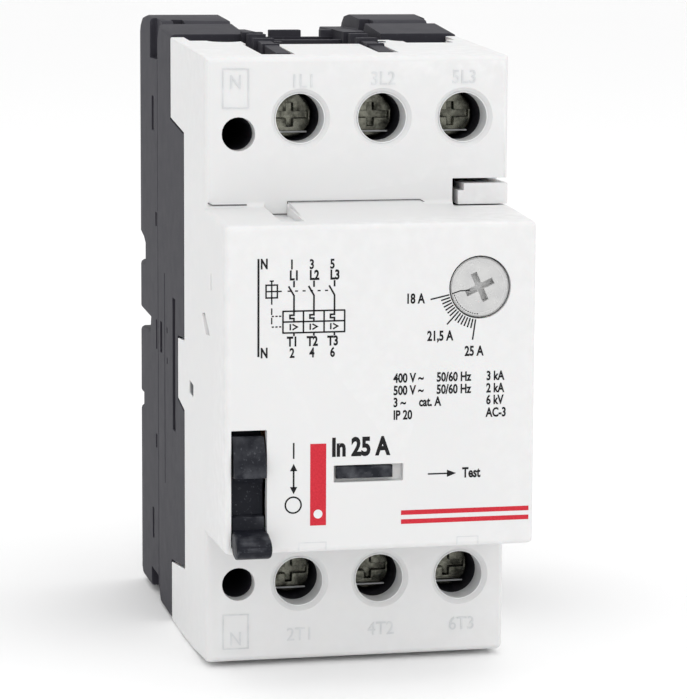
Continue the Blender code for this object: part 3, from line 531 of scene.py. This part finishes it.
def print_red():
    """The two red bars at the lower right, and the red label with its white dot."""
    shape = bmesh.new()
    half = 0.32
    for middle in (-17.42, -18.68):
        solid(shape, rectangle(2.85, middle - half, 21.0, middle + half))
    printed(shape, "print_red_bars", RED_INK)
    label = bmesh.new()
    solid(label, rectangle(-9.9, -18.75, -7.68, -7.43))
    printed(label, "print_red_label", RED_INK)
    dot = bmesh.new()
    solid(dot, round_points(-8.8, -17.16, 0.62), high=INK * 2)
    printed(dot, "print_label_dot", MATERIALS["white_plastic"])


def print_rating():
    """Generic electrical data in two columns."""
    shape = bmesh.new()
    first_x = 1.65
    second_x = 14.75
    height = 1.22
    rows = ((1.3, "400 V ~     50/60 Hz", "3 kA"), (-0.4, "500 V ~     50/60 Hz", "2 kA"),
            (-2.05, "3 ~     cat. A", "6 kV"), (-3.8, "IP 20", "AC-3"))
    for z, first, second in rows:
        text(shape, first, first_x, z, height, width=0.74, align="LEFT")
        text(shape, second, second_x, z, height, width=0.74, align="LEFT")
    printed(shape, "print_rating")


def on_dial(radius, turn, bend=0.0):
    """The (x, z) point at a radius and an angle in radians round the dial, moved sideways by bend."""
    return (DIAL_X + radius * math.cos(turn) - bend * math.sin(turn),
            DIAL_Z + radius * math.sin(turn) + bend * math.cos(turn))


def print_dial_scale():
    """The scale lines round the dial, three of them longer, with their current values."""
    shape = bmesh.new()
    for words, x, z in (("18 A", 4.6, 12.2), ("21,5 A", 8.15, 7.0), ("25 A", 12.95, 4.8)):
        text(shape, words, x, z, 1.3, width=0.72)
    values = 14
    inner = DIAL_RADIUS + 0.35
    outer = 5.75
    longer = {0: 7.15, values // 2: 6.85, values: 7.3}
    for step in range(values + 1):
        turn = math.radians(POINTER_TURN + (SCALE_END_TURN - POINTER_TURN) * step / values)
        stroke(shape, [on_dial(inner, turn), on_dial(longer.get(step, outer), turn)], FINE)
    printed(shape, "print_dial_scale")


def mark_dial():
    """The dial's pointer, the row of dots near its edge and its two rim lines."""
    pointer = bmesh.new()
    turn = math.radians(POINTER_TURN)
    ends = [on_dial(radius, turn, bend) for radius, bend in ((4.0, 0.0), (2.8, -0.12), (1.45, 0.1))]
    stroke(pointer, ends, 0.16, plane=DIAL_FACE_Y)
    printed(pointer, "dial_pointer", body="dial")
    dots = bmesh.new()
    dot_radius = 3.72
    dot_pitch = 5.2
    dot_length = 2.4
    for step in range(14):
        start = POINTER_TURN + 4 + dot_pitch * step
        arc = round_points(DIAL_X, DIAL_Z, dot_radius, start, start + dot_length, 2)
        stroke(dots, arc, 0.14, plane=DIAL_FACE_Y)
    printed(dots, "dial_dots", body="dial")
    rims = (("dial_rim", 4.0, 0.09, RIM), ("dial_inner_rim", 3.55, 0.13, PALE_RIM))
    for name, radius, width, material in rims:
        ring = bmesh.new()
        circle = round_points(DIAL_X, DIAL_Z, radius, steps=48)
        stroke(ring, circle, width, plane=DIAL_FACE_Y, closed=True)
        printed(ring, name, material, "dial")


def paint_seam_shadows():
    """Painted shade lines in the gaps where the front block's ledge meets the shoulder, and two tab outlines
    at its foot.
    """
    seam_shadows = bmesh.new()
    ledge = [(-21.3, 24.15), (-20.7, 23.85), (-15.9, 23.85)]
    stroke(seam_shadows, ledge, 0.17, plane=FILLET_Y, low=-0.4)
    platform = [(-13.5, 22.45), (-10.05, 22.45), (-10.05, 24.2), (8.9, 24.2), (9.75, 23.75), (13.6, 23.75)]
    stroke(seam_shadows, platform, 0.14, plane=SHOULDER_Y - 0.1)
    printed(seam_shadows, "ledge_seam_shadow", SEAM_SHADOW)
    tabs = bmesh.new()
    foot = -22.2
    top = -21.1
    for left, right in ((-11.43, -7.66), (10.82, 13.82)):
        stroke(tabs, [(left, foot), (left, top), (right, top), (right, foot)], 0.12)
    printed(tabs, "edge_tabs", SHADED_RELIEF)


def line_bores():
    """The white collar inside each screwdriver hole, and the retaining strip below each screw head."""
    collars = bmesh.new()
    strips = bmesh.new()
    profile = ((3.58, 15.95), (3.44, 16.0), (3.4, 19.6), (3.58, 19.6))
    strip_y = 23.1
    for z in (UPPER_SCREW_Z, LOWER_SCREW_Z):
        for x in POLE_X:
            rings = []
            for radius, back in profile:
                points = round_points(x, z, radius, steps=40)
                rings.append([collars.verts.new(at(across, back, up)) for across, up in points])
            join_rings(collars, rings)
            strip = rectangle(x - 2.5, z - 2.45, x + 2.3, z - 2.25)
            solid(strips, strip, plane=strip_y, low=0.0, high=0.3)
    bmesh.ops.recalc_face_normals(collars, faces=collars.faces)
    keep(mesh_of(collars, "bore_collars"), "bore_collars", MATERIALS["white_plastic"])
    printed(strips, "screw_retainers", SHADED_RELIEF)


def block(shape, low, high):
    """An upright box between two opposite corners."""
    corners = [at(x, y, z) for x in (low[0], high[0]) for y in (low[1], high[1]) for z in (low[2], high[2])]
    bmesh.ops.convex_hull(shape, input=[shape.verts.new(corner) for corner in corners])


def add_window_latch_shade():
    """The dark box in the left side's window: partly the black latch behind it, partly painted shade for the
    dim inside seen through it.
    """
    latch_shade = bmesh.new()
    block(latch_shade, (-21.68, 26.2, -4.4), (-20.45, 28.4, -2.95))
    bmesh.ops.recalc_face_normals(latch_shade, faces=latch_shade.faces)
    keep(mesh_of(latch_shade, "window_latch_shade"), "window_latch_shade", MATERIALS["toggle_plastic"])


def add_rib_lugs():
    """The lugs on the ribs that clip the cover, above and below."""
    shape = bmesh.new()
    lug_length = 1.7
    # Each lug: its distance back, how far it stands out sideways, and how far upwards.
    lugs = ((30.2, 0.25, 0.45), (35.6, 0.5, 0.55), (41.0, 0.3, 0.5), (44.6, 0.55, 0.35))
    for up, top in ((1, 46.35), (-1, 41.7)):
        for left, right in ((-10.6, -8.6), (4.7, 6.8)):
            middle = (left + right) / 2
            for back, wide, tall in lugs:
                low = up * (top - 3.2 + 0.1 * (back - 30))
                high = up * (top - 1.35 + 0.08 * (back - 30) + tall)
                ends = sorted((low, high))
                block(shape, (left - wide, back, ends[0]), (right + wide, back + lug_length, ends[1]))
            ends = sorted((up * (top - 2.4), up * (top - 0.9)))
            block(shape, (middle, 36.2, ends[0]), (middle + 2.9, 38.0, ends[1]))
    bmesh.ops.recalc_face_normals(shape, faces=shape.faces)
    keep(mesh_of(shape, "catches"), "catches", MATERIALS["case_plastic"])


def draw_pole(shape, x, upper, lower, number):
    """One pole of the wiring diagram: its terminal names, its contact and its two releases."""
    text(shape, upper, x - 0.3, 17.2, 1.25, width=0.75)
    text(shape, f"L{number}", x + 0.05, 15.72, 1.25, width=0.75, weight=0.04)
    text(shape, f"T{number}", x - 0.2, 6.72, 1.25, width=0.75, weight=0.04)
    text(shape, lower, x - 0.25, 5.15, 1.25, width=0.75)
    stroke(shape, [(x, 14.95), (x, 14.1)], STRONG)
    contact = [(x - 0.75, 14.25), (x, 12.95)]
    overload = [(x, 10.3), (x - 0.55, 10.3), (x - 0.55, 9.85), (x, 9.85), (x, 9.4)]
    stroke(shape, contact + overload, LINE)
    stroke(shape, [(x - 0.5, 9.1), (x - 0.5, 8.25)], THIN)
    stroke(shape, [(x - 0.2, 9.05), (x + 0.45, 8.68), (x - 0.2, 8.3)], FINE)
    stroke(shape, [(x, 7.85), (x, 7.45)], LINE)


def draw_release_boxes(shape):
    """The two rows of three boxes round the releases."""
    left = -13.72
    right = -5.2
    top = 10.85
    foot = 7.9
    overhang = 0.08
    for z in (top, 9.4, foot):
        stroke(shape, [(left - overhang, z), (right + overhang, z)], BOX_LINE)
    for x in (left, -10.9, -8.05, right):
        stroke(shape, [(x, top), (x, foot)], BOX_LINE)


def draw_linkage(shape):
    """The hand drive's crossed box and the dashed links to the contacts and releases."""
    x = -15.27
    z = 13.58
    stroke(shape, [(-16.05, 14.45), (-14.5, 14.45), (-14.5, 12.72), (-16.05, 12.72)], THIN, closed=True)
    stroke(shape, [(-16.05, z), (-13.9, z)], HAIR)
    stroke(shape, [(x, 15.0), (x, 11.8)], HAIR)
    stroke(shape, [(-15.55, 15.0), (-14.99, 15.0)], HAIR)
    dashes(shape, (-13.1, z), (-6.9, z), DASH, 6, 0.4)
    dashes(shape, (x, 11.3), (x, 8.75), DASH, 2, 0.7)
    for link_z in (10.2, 8.75):
        dashes(shape, (x, link_z), (-13.75, link_z), DASH, 3, 0.6)


def print_wiring_diagram():
    shape = bmesh.new()
    stroke(shape, [(-17.09, 18.03), (-17.09, 4.72)], BOLD)
    for z in (17.34, 5.25):
        text(shape, "N", -16.3, z, 1.3, width=0.70, weight=0.04)
    for x, upper, lower, number in zip((-12.21, -9.46, -6.62), "135", "246", (1, 2, 3)):
        draw_pole(shape, x, upper, lower, number)
    draw_release_boxes(shape)
    draw_linkage(shape)
    printed(shape, "print_wiring_diagram")


def emboss_terminal_marks():
    """Raised lettering over and under the terminals, and framed N marks at the neutral holes, tinted grey as
    painted shade of their edges.
    """
    shape = bmesh.new()
    relief = {"plane": SHOULDER_Y, "low": -RELIEF_STEP, "high": RELIEF_STEP}
    names = (("1L1", POLE_X[0] + 0.3, 41.0), ("3L2", POLE_X[1], 41.3), ("5L3", POLE_X[2], 41.45),
             ("2T1", POLE_X[0] + 0.1, -37.6), ("4T2", POLE_X[1] + 0.2, -37.3),
             ("6T3", POLE_X[2] + 0.4, -37.1))
    for words, x, z in names:
        text(shape, words, x, z, 1.85, width=0.92, weight=0.0, **relief)
    for z, frame_foot, frame_top in ((40.9, 37.3, 42.7), (-37.9, -39.35, -34.45)):
        text(shape, "N", -17.42, z, 1.9, width=0.85, weight=0.0, **relief)
        stroke(shape, rectangle(-19.2, frame_foot, -15.6, frame_top), 0.16, closed=True, **relief)
    printed(shape, "relief_terminal_marks", SHADED_RELIEF)


# ---------------------------------------------------------------- stage


def make_stage():
    """A wide pale floor just under the breaker."""
    shape = bmesh.new()
    half_width = 4.0
    drop = 0.0001
    bmesh.ops.create_grid(shape, x_segments=1, y_segments=1, size=half_width)
    mesh = mesh_of(shape, "floor")
    floor = bpy.data.objects.new("floor", mesh)
    bpy.context.scene.collection.objects.link(floor)
    floor.location.z = FLOOR_Z - drop
    made = Shader("floor_paper")
    made.colour(made.blend(made.noise(400.0), (0.96, 0.96, 0.96), (0.97, 0.97, 0.97)))
    made.set(Roughness=0.8, Specular_IOR_Level=0.2)
    mesh.materials.append(made.material)


def make_world():
    """White surroundings, and the plain view transform that keeps white plastic white."""
    world = bpy.data.worlds.new("studio")
    world.use_nodes = True
    background = world.node_tree.nodes["Background"]
    background.inputs["Color"].default_value = (1.0, 1.0, 1.0, 1.0)
    background.inputs["Strength"].default_value = 1.0
    bpy.context.scene.world = world
    bpy.context.scene.view_settings.view_transform = "Standard"


def add_light(name, position, target, size, power):
    """A square area light of a size in metres and a power in watts, turned to its target."""
    data = bpy.data.lights.new(name, "AREA")
    data.shape = "RECTANGLE"
    data.size = size
    data.size_y = size
    data.energy = power
    light = bpy.data.objects.new(name, data)
    light.location = position
    light.rotation_mode = "QUATERNION"
    light.rotation_quaternion = (target - position).to_track_quat("-Z", "Y")
    bpy.context.scene.collection.objects.link(light)


def make_lights():
    middle = at(0, 20, 0)
    add_light("key", at(60, -700, 480), middle, 0.7, 1.2)
    add_light("fill", at(600, -500, 250), middle, 0.8, 0.3)
    add_light("top", at(0, 50, 900), middle, 0.9, 1.2)


def make_camera():
    """A long lens, a little above and to the left of the front."""
    place = at(-92.464, -400.317, 64.985)
    turn = math.radians(12.384)
    rise = math.radians(8.001)
    roll = math.radians(0.293)
    back = Vector((-math.sin(turn) * math.cos(rise), -math.cos(turn) * math.cos(rise), math.sin(rise)))
    right = Vector((math.cos(turn), -math.sin(turn), 0))
    up = back.cross(right)
    rolled_right = right * math.cos(roll) + up * math.sin(roll)
    rolled_up = up * math.cos(roll) - right * math.sin(roll)
    data = bpy.data.cameras.new("camera")
    data.lens = 157.09
    data.shift_x = -0.0081
    data.shift_y = -0.0204
    data.clip_start = 0.01
    data.clip_end = 20
    camera = bpy.data.objects.new("camera", data)
    turned = Matrix((rolled_right, rolled_up, back)).transposed().to_4x4()
    camera.matrix_world = Matrix.Translation(place) @ turned
    bpy.context.scene.collection.objects.link(camera)
    bpy.context.scene.camera = camera


make_camera()
make_world()
make_lights()
make_stage()
dress_nodes()
refine_housings()
print_toggle_marks()
print_current()
print_test()
print_red()
print_rating()
print_dial_scale()
print_wiring_diagram()
emboss_terminal_marks()
mark_dial()
paint_seam_shadows()
line_bores()
add_window_latch_shade()
add_rib_lugs()
